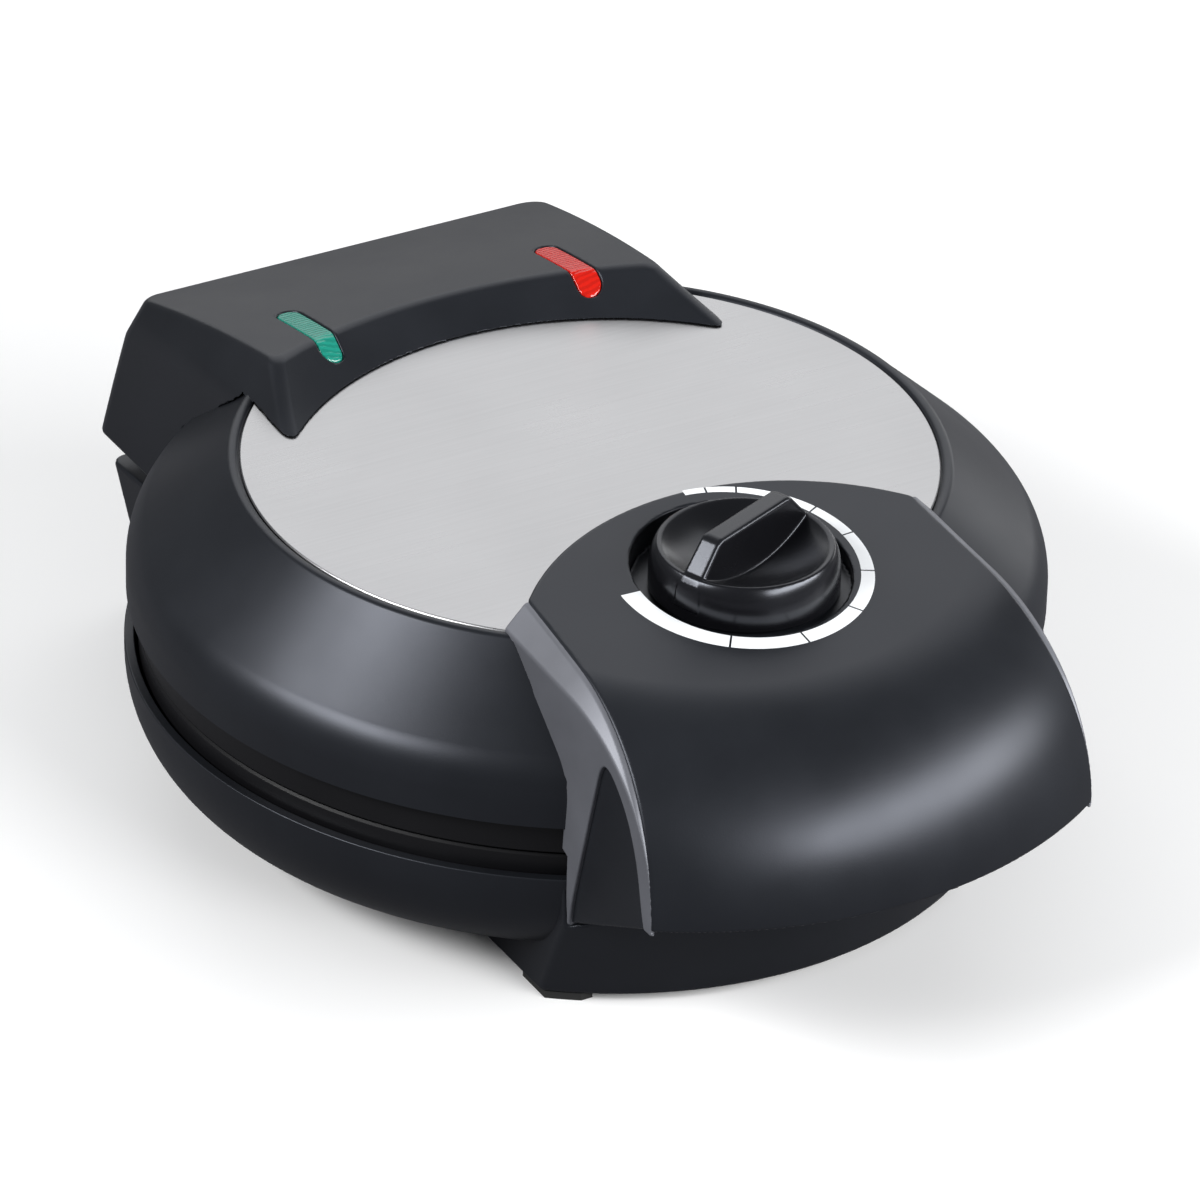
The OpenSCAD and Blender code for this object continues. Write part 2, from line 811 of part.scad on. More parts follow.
module base_hinge_bracket() {
    color(dark_metal) at_body() difference() {
        union() {
            translate([-52, 115.4, foot_plate_z]) cube([104, 10.6, foot_plate_t]);
            for (side = [-1, 1]) translate([side * base_ear_x, 0, 0])
                ear(base_ear_w, pin_r + running_gap, [
                    [116.2, foot_plate_z], [126, foot_plate_z], [126, 38], [hinge_y + 0.6, hinge_z - 4.6],
                    [hinge_y - 3.6, hinge_z + 3], [116.2, 40]
                ]);
        }
        for (side = [-1, 1]) translate([side * base_ear_x - base_ear_w, hinge_y, hinge_z])
            rotate([0, 90, 0]) cylinder(r = pin_r + running_gap, h = 2 * base_ear_w);
        for (x = bracket_screw_x) translate([x, bracket_screw_y, 20]) cylinder(r = 1.9, h = 12, $fn = 24);
        // threads for the cord clamp's screws
        for (side = [-1, 1])
            translate([gland_x + side * clamp_screw_x, clamp_y, 20]) cylinder(r = 1.55, h = 12, $fn = 24);
    }
}

module base_bracket_screws() {
    color(screw_steel) at_body() for (x = bracket_screw_x)
        translate([x, bracket_screw_y, foot_plate_z]) rotate([180, 0, 0]) screw(8, 1.6);
}

module lid_hinge_bracket() {
    color(dark_metal) at_body() difference() {
        union() {
            translate([-50, 95, bracket_bar_low]) cube([100, 27, bracket_bar_top - bracket_bar_low]);
            for (side = [-1, 1]) translate([side * lid_ear_x, 0, 0])
                ear(lid_ear_w, pin_r + running_gap, [
                    [118, bracket_bar_low], [hinge_y - 2.6, hinge_z - 4.2], [hinge_y + 4.7, hinge_z + 1.6],
                    [122, bracket_bar_top], [116, bracket_bar_top]
                ]);
        }
        translate([0, 0, 30]) cylinder(r = lid_r + 0.05, h = 90, $fn = 180);
        for (side = [-1, 1]) {
            translate([side * lid_ear_x - lid_ear_w, hinge_y, hinge_z])
                rotate([0, 90, 0]) cylinder(r = pin_r + running_gap, h = 2 * lid_ear_w);
            // clear of the base's ears
            translate([side * base_ear_x - base_ear_w / 2 - 1, 0, 0])
                translate([0, hinge_y, hinge_z]) rotate([0, 90, 0]) cylinder(r = 9, h = base_ear_w + 2);
            translate([side * 20, 119, 50]) {
                cylinder(r = 1.9, h = 20, $fn = 24);
                cylinder(r = 3.6, h = cover_screw_seat - 50, $fn = 32);
            }
        }
        for (a = [75, 105])
            rotate([0, 0, a]) translate([105, 0, lid_rim_z + 4.5]) rotate([0, 90, 0]) cylinder(r = 1.6, h = 30, $fn = 24);
    }
}

module lid_bracket_screws() {
    color(screw_steel) at_body() for (a = [75, 105])
        rotate([0, 0, a]) translate([lid_r - wall - 0.15, 0, lid_rim_z + 4.5]) rotate([0, -90, 0]) screw(9, 1.6, 3, 1.6);
}

module hinge_pin() {
    color(steel) at_body() translate([-pin_half, hinge_y, hinge_z]) rotate([0, 90, 0])
        cylinder(r = pin_r, h = 2 * pin_half);
}

module pin_clips() {
    color(screw_steel) at_body() for (side = [-1, 1])
        translate([side * 50.5 - 0.5, hinge_y, hinge_z]) rotate([0, 90, 0]) difference() {
            cylinder(r = 4.6, h = 1);
            translate([0, 0, -1]) cylinder(r = pin_r, h = 3);
        }
}

// ---------- base ----------

module bowl_solid(t, low) {
    rotate_extrude() polygon(concat(
        [[0, low], [bowl_flat_r, low]],
        arc(bowl_flat_r, bowl_corner_z, base_r - bowl_flat_r - t, bowl_corner_z - bowl_bottom_z - t, -90, 0, 12),
        [[base_r - t, base_rim_z + (t > 0 ? 1 : 0)], [0, base_rim_z + (t > 0 ? 1 : 0)]]
    ));
}

// The front face of the grip is part of a cone, and its top follows the underside of the lid's handle.
module grip_solid(t) {
    top = grip_top_z - t;
    intersection() {
        side_profile([
            [-60, grip_foot_z - (t > 0 ? 1 : 0)], [-125, grip_foot_z - (t > 0 ? 1 : 0)],
            [-125, seam_z - seam_gap - t + (125 + seam_y) * seam_slope],
            [seam_y + 0.7, seam_z - seam_gap - t - 0.7 * seam_slope], [seam_y + 2.4, top - 2], [seam_y + 2.8, top], [-60, top]
        ], grip_x - t);
        translate([0, grip_c, 0]) cylinder(r1 = grip_foot_r - t - 2 * grip_lean, r2 = grip_foot_r - t + 48 * grip_lean, h = 50, $fn = 180);
    }
}

// The block's rear wall leans back with height.
function block_back(z) = block_foot_y + (z - grip_foot_z) * block_lean;

module block_solid(t) {
    low = grip_foot_z - (t > 0 ? 1 : 0);
    shoulder = block_top_z - 3.5;
    intersection() {
        side_profile([
            [60, low], [block_back(low) - t, low], [block_back(shoulder) - t, shoulder],
            [block_back(shoulder) + 0.2 - t, block_top_z - t], [108, block_top_z + 1.8 - t], [60, block_top_z + 1.8 - t]
        ], block_x);
        translate([0, 160, 0]) rotate([90, 0, 0]) linear_extrude(120) polygon([
            [-block_foot_x + t, low], [block_foot_x - t, low], [block_x - t, block_top_z - 2], [block_x - 1.5 - t, 60],
            [t + 1.5 - block_x, 60], [t - block_x, block_top_z - 2]
        ]);
    }
}

module foot_plan() {
    for (side = [-1, 1]) {
        translate([side * 56.2 - 5.6, -94]) square([11.2, 16]);
        translate([side * 55 - 5.6, 109.5]) square([11.2, 14]);
    }
}

gland_x = 30;
gland_z = 18;
gland_r = 5.9;
gland_tilt = atan(block_lean);
wiring_seat = 8.8;
wiring_t = 2;
wiring_screw_x = 54;
wiring_screw_y = 106;

// Frame of the cord gland: z runs outwards, square to the rear wall, from the wall's outer face.
module gland_frame() {
    translate([gland_x, block_back(gland_z), gland_z]) rotate([-90 - gland_tilt, 0, 0]) children();
}

module base_shell() {
    color(black) at_body() difference() {
        union() {
            difference() {
                union() {
                    bowl_solid(0, bowl_bottom_z);
                    grip_solid(0);
                    block_solid(0);
                }
                bowl_solid(wall, bowl_bottom_z + wall);
                translate([0, 0, base_rim_z - 2.5]) cylinder(r = base_r - wall, h = 20);
                // the grip and the block are hollow below and behind the bowl
                difference() {
                    union() {
                        grip_solid(wall);
                        block_solid(wall);
                    }
                    bowl_solid(0, bowl_bottom_z);
                }
                translate([0, 0, -1]) cylinder(r = floor_in, h = 20);
                translate([0, 0, -1]) cylinder(r = bowl_flat_r - 2, h = bowl_bottom_z + 1);
            }
            // posts for the baking plate
            around(post_angles, post_r_pos)
                translate([0, 0, bowl_bottom_z + 0.5]) cylinder(r = post_r + 1, h = foil_low_z - bowl_bottom_z - 0.5);
            // bosses for the hinge bracket
            for (x = bracket_screw_x)
                translate([x, bracket_screw_y, foot_plate_z + foot_plate_t]) cylinder(r = 4, h = block_top_z - 1 - foot_plate_z - foot_plate_t);
            for (side = [-1, 1])
                translate([side * wiring_screw_x, wiring_screw_y, wiring_seat + wiring_t])
                    cylinder(r = 3.6, h = block_top_z - 1 - wiring_seat - wiring_t);
            // pads that carry the rubber feet and the wiring cover
            intersection() {
                translate([0, 0, grip_foot_z]) linear_extrude(wiring_seat - grip_foot_z) foot_plan();
                union() {
                    grip_solid(0.1);
                    block_solid(0.1);
                }
            }
        }
        around(post_angles, post_r_pos) {
            translate([0, 0, bowl_bottom_z - 1]) cylinder(r = 2.2, h = 20, $fn = 32);
            translate([0, 0, bowl_bottom_z - 1]) cylinder(r = 3.6, h = 4, $fn = 32);
        }
        for (x = bracket_screw_x) translate([x, bracket_screw_y, 20]) cylinder(r = 1.6, h = 14, $fn = 24);
        for (side = [-1, 1])
            translate([side * wiring_screw_x, wiring_screw_y, wiring_seat]) cylinder(r = 1.4, h = 14, $fn = 24);
        // slots for the hinge ears
        for (side = [-1, 1])
            translate([side * base_ear_x - base_ear_w / 2 - 0.3, 115.8, 30]) cube([base_ear_w + 0.6, 12.4, 14]);
        // hole for the cord gland
        gland_frame() translate([0, 0, -6]) cylinder(r = gland_r + 0.1, h = 12);
        around([0, 90, 180, 270], 80) translate([0, 0, 5]) cylinder(r = 1.5, h = 20, $fn = 24);
    }
}

module bottom_cover() {
    color(black) at_body() difference() {
        translate([0, 0, bowl_bottom_z - 2.4]) cylinder(r = 86, h = 2.4);
        around([0, 90, 180, 270], 80) cylinder(r = 1.9, h = 20, $fn = 24);
        // cooling slots
        for (i = [-3 : 3])
            translate([-25, i * 9 - 1.5, 0]) cube([50, 3, 20]);
        around(post_angles, post_r_pos) cylinder(r = 4, h = 20, $fn = 32);
    }
}

module bottom_screws() {
    color(screw_steel) at_body() around([0, 90, 180, 270], 80)
        translate([0, 0, bowl_bottom_z - 2.4]) rotate([180, 0, 0]) screw(5, 1.5, 3, 1.8);
}

// Closes the space behind the bowl that holds the mains wiring.
module wiring_cover() {
    color(black) at_body() difference() {
        intersection() {
            translate([-70, 90, wiring_seat]) cube([140, 35.6, wiring_t]);
            block_solid(wall + 0.2);
        }
        translate([0, 0, -1]) cylinder(r = bowl_flat_r - 1.6, h = 30);
        for (side = [-1, 1])
            translate([side * wiring_screw_x, wiring_screw_y, 0]) cylinder(r = 1.7, h = 20, $fn = 24);
    }
}

module wiring_cover_screws() {
    color(screw_steel) at_body() for (side = [-1, 1])
        translate([side * wiring_screw_x, wiring_screw_y, wiring_seat]) rotate([180, 0, 0]) screw(10, 1.4, 3, 1.6);
}

module rubber_feet() {
    color([0.08, 0.08, 0.08]) at_body() intersection() {
        linear_extrude(grip_foot_z) foot_plan();
        union() {
            translate([0, grip_c, -1]) cylinder(r = grip_foot_r - 0.3, h = 5, $fn = 180);
            translate([-70, 50, -1]) cube([140, 90, 5]);
        }
        translate([-block_foot_x, -120, -1]) cube([2 * block_foot_x, 260, 5]);
    }
}

// Grommet whose two flanges hold it in the wall, with a short cone around the lead.
module cord_gland() {
    flange_t = 2;
    inside = wall * cos(gland_tilt) + 0.1 + flange_t;
    color([0.07, 0.07, 0.07]) at_body() gland_frame() difference() {
        union() {
            translate([0, 0, -inside]) cylinder(r = gland_r, h = inside + flange_t, $fn = 64);
            translate([0, 0, -inside]) cylinder(r = gland_r + 1, h = flange_t, $fn = 64);
            translate([0, 0, 0.1]) cylinder(r = gland_r + 1.3, h = flange_t, $fn = 64);
            translate([0, 0, flange_t]) cylinder(r1 = 6.4, r2 = 5.4, h = 4.6, $fn = 64);
        }
        translate([0, 0, -inside - 1]) cylinder(r = cord_hole_r, h = 20, $fn = 64);
    }
}

clamp_low = 13.5;
clamp_y = 118.8;
clamp_depth = 6.4;
clamp_screw_x = 8.5;

module cord_clamp() {
    color(black) at_body() difference() {
        translate([gland_x - 12, clamp_y - clamp_depth / 2, clamp_low])
            cube([24, clamp_depth, foot_plate_z - clamp_low]);
        gland_frame() translate([0, 0, -25]) cylinder(r = cord_hole_r - 0.3, h = 22, $fn = 48);
        for (side = [-1, 1])
            translate([gland_x + side * clamp_screw_x, clamp_y, 0]) cylinder(r = 1.6, h = 40, $fn = 24);
    }
}

module cord_clamp_screws() {
    color(screw_steel) at_body() for (side = [-1, 1])
        translate([gland_x + side * clamp_screw_x, clamp_y, clamp_low]) rotate([180, 0, 0]) screw(14, 1.5, 2.8, 1.6);
}

terminal_x = [-39.5, -31.25, -23];
terminal_y = 119.8;
terminal_low = 14.6;

module terminal_block() {
    color([0.88, 0.86, 0.80]) at_body() difference() {
        translate([-44, terminal_y - 4.5, terminal_low]) cube([25.5, 9, foot_plate_z - terminal_low]);
        for (x = terminal_x) translate([x, terminal_y, terminal_low + 5.4]) {
            rotate([90, 0, 0]) translate([0, 0, -10]) cylinder(r = 2, h = 20, $fn = 24);
            translate([0, 0, -10]) cylinder(r = 1.8, h = 10, $fn = 24);
        }
    }
}

module terminal_screws() {
    color(screw_steel) at_body() for (x = terminal_x)
        translate([x, terminal_y, terminal_low + 0.8]) cylinder(r = 1.75, h = 3, $fn = 24);
}

base_shell();
bottom_cover();
bottom_screws();
wiring_cover();
wiring_cover_screws();
rubber_feet();
lower_plate();
lower_element();
lower_element_clips();
lower_reflector();
lower_plate_screws();
base_hinge_bracket();
base_bracket_screws();
hinge_pin();
pin_clips();
cord_gland();
cord_clamp();
cord_clamp_screws();
terminal_block();
terminal_screws();
lid_shell();
top_disc();
rear_cover();
rear_cover_screws();
ready_lens();
power_lens();
indicator_lamps();
lamp_holders();
front_cover();
left_trim();
right_trim();
handle_liner();
handle_screws();
upper_plate();
upper_element();
upper_element_clips();
upper_reflector();
upper_plate_screws();
thermostat();
thermostat_bracket();
thermostat_screws();
thermal_fuse();
fuse_clip();
lid_hinge_bracket();
lid_bracket_screws();
knob();
thermostat_shaft();
knob_spring();
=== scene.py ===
import json
import math

import bpy
import numpy as np
import openvdb
from mathutils import Matrix, Vector


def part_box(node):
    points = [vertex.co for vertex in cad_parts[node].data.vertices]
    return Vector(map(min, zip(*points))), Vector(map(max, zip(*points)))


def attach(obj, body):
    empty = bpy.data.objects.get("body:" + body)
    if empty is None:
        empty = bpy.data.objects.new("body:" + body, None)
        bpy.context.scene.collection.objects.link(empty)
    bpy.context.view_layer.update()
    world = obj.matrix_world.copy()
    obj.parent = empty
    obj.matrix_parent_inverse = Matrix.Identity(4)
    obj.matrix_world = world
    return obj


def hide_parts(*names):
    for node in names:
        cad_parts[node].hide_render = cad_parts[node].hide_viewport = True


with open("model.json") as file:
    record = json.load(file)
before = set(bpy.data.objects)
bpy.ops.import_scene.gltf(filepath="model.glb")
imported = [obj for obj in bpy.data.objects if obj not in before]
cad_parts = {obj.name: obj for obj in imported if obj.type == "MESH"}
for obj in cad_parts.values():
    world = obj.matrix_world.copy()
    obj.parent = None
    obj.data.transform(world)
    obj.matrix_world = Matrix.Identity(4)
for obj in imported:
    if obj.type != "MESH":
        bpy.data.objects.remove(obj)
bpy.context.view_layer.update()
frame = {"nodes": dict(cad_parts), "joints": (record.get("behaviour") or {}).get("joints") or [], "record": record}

# Shapes below are worked out in millimetres around the round body's own axis, with the floor at 0.
MM = 0.001
NODES = frame["nodes"]
AXIS_Y = sum(c.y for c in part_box("lid_shell")) / 2 / MM


def extent(node):
    """A CAD node's lowest and highest corner, in millimetres around the body's axis."""
    low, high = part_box(node)
    shift = np.array([0, AXIS_Y, 0])
    return np.array(low) / MM - shift, np.array(high) / MM - shift


JOINTS = {j["name"]: j for j in frame["joints"]}


def anchor(joint):
    """The place of a joint's axis, in millimetres around the body's axis."""
    return np.array(JOINTS[joint]["pos_m"]) / MM - np.array([0, AXIS_Y, 0])


# ---------- sizes taken from the frame ----------
LID_LOW, LID_HIGH = extent("lid_shell")
LID_R = LID_HIGH[0]
LID_RIM_Z = LID_LOW[2]
BEAD_Z = LID_HIGH[2]
DISC_LOW, DISC_HIGH = extent("top_disc")
DISC_R = DISC_HIGH[0]
DISC_Z = DISC_HIGH[2]
COVER_LOW, COVER_HIGH = extent("front_cover")
LIP_Z = COVER_LOW[2]
FRONT_Y = COVER_LOW[1]
REAR_LOW, REAR_HIGH = extent("rear_cover")
BASE_R = extent("base_shell")[1][0]
TRIM_X = extent("right_trim")[1][0]
KNOB = anchor("knob_turn")
HINGE = anchor("lid_hinge")

# ---------- lid section ----------
# The lid's slope falls at 45 degrees, so radius plus height is the same all over it.
SLOPE_SUM = LID_R + 66.7
SHOULDER_R = 16.0
SEAT_R = DISC_R + 0.3
BEAD_R = 1.9
BEAD_TOP = DISC_Z + 0.35
LID_HOLE_R = 62
WALL = 2.6
# How deep a piece on the lid reaches into the moulding under it.
SINK = 0.8
# The bay at the disc's front, under the handle cover.
BAY_Y, BAY_R = -113.4, 65.4

# ---------- front handle ----------
HANDLE_R = 114.7
HANDLE_C = FRONT_Y + HANDLE_R
REAR_ARC_R = 73.4
REAR_ARC_C = -40.0 - REAR_ARC_R
CROWN = 40.0
COVER_T = 2.4
COVER_EDGE = 0.9
SHAFT_HOLE_R = 4.2
# The cover widens forwards over RIDGE_LEN from RIDGE_FROM.
RIDGE_X = 54.1
RIDGE_FROM = -64.0
RIDGE_LEN = 73.6

# ---------- knob and dial ----------
# The handle's top face rises to the rear through this (y, z); the knob's own axis is upright.
TOP_AT = (-73.0, 96.2)
SLOPE = 0.11
POINTER = math.radians(22)
RECESS_R = 27.0
RECESS_SHIFT = 1.6
RECESS_FLOOR = -4.1
CUP_T = 1.6
SCALE_R = 32.5
SCALE_Y = -72.5
# Heights on the knob and in its recess are counted from the joint's place.
KNOB_R = 19.7
KNOB_FLARE = 3.6
KNOB_TOP = 8.0
KNOB_FOOT = -3.6
GRIP_TOP = 15.6
GRIP_LEN = 14
GRIP_HALF_W = 3.1
BOWL_SPHERE_R = 39.5
BOWL_FLOOR = 2.1

# ---------- rear housing ----------
HOUSING_Y = 66
HOUSING_TOP = 99
HOUSING_HEM = 48
LENS_X = 37.5
LENS_R = 3.2
LENS_FROM, LENS_TO = 66.5, 88.0
LENS_GAP = 0.06
# The base's two hinge ears, and half the width of the slots they pass.
EAR_X, EAR_SLOT = 36.0, 5.0


# ---------- solids from distance functions ----------

def both(r, *parts):
    """The space inside all the parts, with its edges rounded to radius r."""
    out = parts[0]
    for p in parts[1:]:
        out = np.minimum(-r, np.maximum(out, p)) + np.hypot(np.maximum(out + r, 0), np.maximum(p + r, 0))
    return out


def either(r, *parts):
    """The space inside any of the parts, with its inner corners filled to radius r."""
    return -both(r, *[-p for p in parts])


def minus(r, part, tool):
    return both(r, part, -tool)


def slab(v, low, high):
    return np.maximum(low - v, v - high)


def true_distance(f):
    """Rescales an implicit function so that it reads as a distance near its surface."""
    step = 0.02

    def g(x, y, z):
        v = f(x, y, z)
        rise = [(f(x + step, y, z) - v), (f(x, y + step, z) - v), (f(x, y, z + step) - v)]
        return v * step / np.maximum(np.sqrt(sum(d * d for d in rise)), 0.2 * step)
    return g


def polygon(points, u, v):
    """Distance to a closed outline, negative inside."""
    best = np.full(np.shape(u), 1e9)
    inside = np.zeros(np.shape(u), bool)
    for (ax, ay), (bx, by) in zip(points, points[1:] + points[:1]):
        ex, ey = bx - ax, by - ay
        t = np.clip(((u - ax) * ex + (v - ay) * ey) / (ex * ex + ey * ey), 0, 1)
        best = np.minimum(best, (u - ax - t * ex) ** 2 + (v - ay - t * ey) ** 2)
        if ay != by:
            inside ^= ((ay > v) != (by > v)) & (u < ax + (v - ay) * ex / ey)
    return np.where(inside, -1, 1) * np.sqrt(best)


def stadium(x, y, cx, y0, y1, r):
    return np.hypot(x - cx, y - np.clip(y, y0, y1)) - r


def place(obj, body, slot, *stands_for):
    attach(obj, body)
    if stands_for:
        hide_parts(*stands_for)
    return obj


def mesh_object(name, points, faces, material, normals=None):
    """An object from points in millimetres around the body's axis."""
    mesh = bpy.data.meshes.new(name)
    at = (np.asarray(points, float) + [0, AXIS_Y, 0]) * MM
    mesh.from_pydata(at.tolist(), [], faces)
    mesh.update()
    mesh.polygons.foreach_set("use_smooth", [True] * len(mesh.polygons))
    if normals is not None:
        mesh.normals_split_custom_set_from_vertices(normals.tolist())
    mesh.materials.append(material)
    obj = bpy.data.objects.new(name, mesh)
    bpy.context.scene.collection.objects.link(obj)
    return obj


def gradient(f, p, step=0.01):
    out = np.zeros_like(p)
    for k in range(3):
        d = np.zeros(3)
        d[k] = step
        out[:, k] = (f(*(p + d).T) - f(*(p - d).T)) / (2 * step)
    return out


# How many steps the grid's values reach on each side of the surface.
BAND = 3


def carve(name, f, low, high, step, material):
    """Turns a distance function into a mesh whose points lie on its surface."""
    low = np.array(low, float) - 2 * step
    counts = np.ceil((np.array(high, float) + 2 * step - low) / step).astype(int) + 1
    axes = [low[k] + step * np.arange(counts[k]) for k in range(3)]
    x, y, z = np.meshgrid(*axes, indexing="ij")
    values = np.clip(f(x, y, z), -BAND * step, BAND * step)
    grid = openvdb.FloatGrid(BAND * step)
    grid.copyFromArray(values.astype(np.float32))
    points, triangles, quads = grid.convertToPolygons(isovalue=0.0, adaptivity=0.0)
    p = low + np.asarray(points, float) * step
    for _ in range(3):
        g = gradient(f, p)
        move = -f(*p.T)[:, None] * g / np.maximum((g * g).sum(1), 0.05)[:, None]
        p += np.clip(move, -0.6 * step, 0.6 * step)
    g = gradient(f, p)
    normals = g / np.maximum(np.linalg.norm(g, axis=1), 1e-6)[:, None]
    faces = [tuple(q) for q in np.asarray(quads).tolist()]
    faces += [tuple(t) for t in np.asarray(triangles).tolist()]
    # the grid may wind its faces inwards, so a few are compared with the surface's direction
    first = np.array([q[:3] for q in faces[:2000]])
    a, b, c = p[first[:, 0]], p[first[:, 1]], p[first[:, 2]]
    if (np.cross(b - a, c - a) * normals[first[:, 0]]).sum() < 0:
        faces = [q[::-1] for q in faces]
    return mesh_object(name, p, faces, material, normals)


def arc(cx, cy, r, start, end, steps):
    """Points along an arc, with its angles in degrees."""
    angles = np.radians(np.linspace(start, end, steps + 1))
    return [(cx + r * math.cos(a), cy + r * math.sin(a)) for a in angles]


def soften_edges(obj, width=0.4):
    bevel = obj.modifiers.new("edges", "BEVEL")
    bevel.width = width * MM
    bevel.segments = 2
    bevel.limit_method = "ANGLE"
    bevel.angle_limit = math.radians(35)
    bevel.harden_normals = True
    return obj


def revolve(name, profile, material, segments=256):
    """A closed ring turned about the body's axis, from a closed outline of (radius, height)."""
    turn = 2 * np.pi * np.arange(segments) / segments
    rings = [np.stack([r * np.cos(turn), r * np.sin(turn), np.full(segments, h)], 1) for r, h in profile]
    faces = []
    n = len(profile)
    for i in range(n):
        for k in range(segments):
            a, b = i * segments + k, i * segments + (k + 1) % segments
            c, d = (i + 1) % n * segments + (k + 1) % segments, (i + 1) % n * segments + k
            faces.append((a, b, c, d))
    return mesh_object(name, np.concatenate(rings), faces, material)


def plate(name, outline, low, high, material):
    """A flat plate between two heights, from its closed outline of (x, y)."""
    n = len(outline)
    points = [(x, y, low) for x, y in outline] + [(x, y, high) for x, y in outline]
    faces = [tuple(range(n - 1, -1, -1)), tuple(range(n, 2 * n))]
    faces += [(i, (i + 1) % n, n + (i + 1) % n, n + i) for i in range(n)]
    return mesh_object(name, points, faces, material)


def drill(obj, x, y, r, low, high):
    """Cuts an upright round hole through a mesh."""
    tool = plate("drill", arc(x, y, r, 0, 360, 48)[:-1], low, high, obj.data.materials[0])
    cut = obj.modifiers.new("hole", "BOOLEAN")
    cut.operation, cut.solver, cut.object = "DIFFERENCE", "EXACT", tool
    whole = obj.evaluated_get(bpy.context.evaluated_depsgraph_get())
    obj.data = bpy.data.meshes.new_from_object(whole)
    obj.modifiers.remove(cut)
    bpy.data.objects.remove(tool)


# ---------- materials ----------

def new_material(name):
    m = bpy.data.materials.new(name)
    m.use_nodes = True
    nodes = m.node_tree.nodes
    return m, nodes, m.node_tree.links, nodes["Principled BSDF"]


def noise(nodes, links, vector, scale, detail):
    n = nodes.new("ShaderNodeTexNoise")
    n.inputs["Scale"].default_value = scale
    n.inputs["Detail"].default_value = detail
    links.new(vector, n.inputs["Vector"])
    return n.outputs["Fac"]


def spread(nodes, links, value, low, high):
    """Maps the middle of a noise's range to the values from low to high."""
    r = nodes.new("ShaderNodeMapRange")
    r.inputs["From Min"].default_value = 0.3
    r.inputs["From Max"].default_value = 0.7
    r.inputs["To Min"].default_value = low
    r.inputs["To Max"].default_value = high
    links.new(value, r.inputs["Value"])
    return r.outputs["Result"]


def tint(nodes, links, value, dark, light):
    ramp = nodes.new("ShaderNodeValToRGB")
    ramp.color_ramp.elements[0].color = (*dark, 1)
    ramp.color_ramp.elements[1].color = (*light, 1)
    ramp.color_ramp.elements[0].position = 0.3
    ramp.color_ramp.elements[1].position = 0.7
    links.new(value, ramp.inputs["Fac"])
    return ramp.outputs["Color"]


def bump(nodes, links, height, depth):
    b = nodes.new("ShaderNodeBump")
    b.inputs["Strength"].default_value = 1.0
    b.inputs["Distance"].default_value = depth
    links.new(height, b.inputs["Height"])
    return b.outputs["Normal"]


def object_space(nodes, links, stretch=(1, 1, 1)):
    c = nodes.new("ShaderNodeTexCoord")
    m = nodes.new("ShaderNodeMapping")
    m.inputs["Scale"].default_value = stretch
    links.new(c.outputs["Object"], m.inputs["Vector"])
    return m.outputs["Vector"]


def moulded(name, colour, rough, grain=0.000012, specular=0.5, tone=(1, 1, 1), metallic=0.0):
    """Moulded plastic or rubber: a fine spark-eroded grain, and faint marks of handling in its gloss."""
    m, nodes, links, shader = new_material(name)
    at = object_space(nodes, links)
    fine = noise(nodes, links, at, 2600, 3)
    cloud = noise(nodes, links, at, 35, 4)
    light = tuple(c * 1.16 for c in colour)
    dark = tuple(c * 0.88 for c in colour)
    links.new(tint(nodes, links, cloud, dark, light), shader.inputs["Base Color"])
    links.new(spread(nodes, links, cloud, rough - 0.035, rough + 0.035), shader.inputs["Roughness"])
    links.new(bump(nodes, links, fine, grain), shader.inputs["Normal"])
    shader.inputs["Specular IOR Level"].default_value = specular
    shader.inputs["Specular Tint"].default_value = (*tone, 1)
    shader.inputs["Metallic"].default_value = metallic
    return m


def metal(name, colour, rough, stretch=(1, 1, 1), scale=400, depth=0.000006, streak=0.05):
    """Metal with a rolled, brushed or cast surface, which stretch gives its direction."""
    m, nodes, links, shader = new_material(name)
    at = object_space(nodes, links, stretch)
    lines = noise(nodes, links, at, scale, 4)
    cloud = noise(nodes, links, object_space(nodes, links), 22, 3)
    links.new(tint(nodes, links, lines, tuple(c * 0.93 for c in colour), colour), shader.inputs["Base Color"])
    total = nodes.new("ShaderNodeMath")
    total.operation = "ADD"
    links.new(spread(nodes, links, lines, -streak, streak), total.inputs[0])
    links.new(spread(nodes, links, cloud, rough - 0.03, rough + 0.03), total.inputs[1])
    links.new(total.outputs[0], shader.inputs["Roughness"])
    links.new(bump(nodes, links, lines, depth), shader.inputs["Normal"])
    shader.inputs["Metallic"].default_value = 1.0
    return m


def lens_material(name, colour):
    """Clear coloured plastic with fine ribs moulded across it."""
    m, nodes, links, shader = new_material(name)
    ribs = nodes.new("ShaderNodeTexWave")
    ribs.wave_type = "BANDS"
    ribs.bands_direction = "Y"
    ribs.inputs["Scale"].default_value = 240
    ribs.inputs["Distortion"].default_value = 4
    links.new(object_space(nodes, links), ribs.inputs["Vector"])
    dark = tuple(c * 0.8 for c in colour)
    links.new(tint(nodes, links, ribs.outputs["Fac"], dark, colour), shader.inputs["Base Color"])
    links.new(bump(nodes, links, ribs.outputs["Fac"], 0.00008), shader.inputs["Normal"])
    links.new(spread(nodes, links, ribs.outputs["Fac"], 0.08, 0.16), shader.inputs["Roughness"])
    shader.inputs["Transmission Weight"].default_value = 0.2
    return m


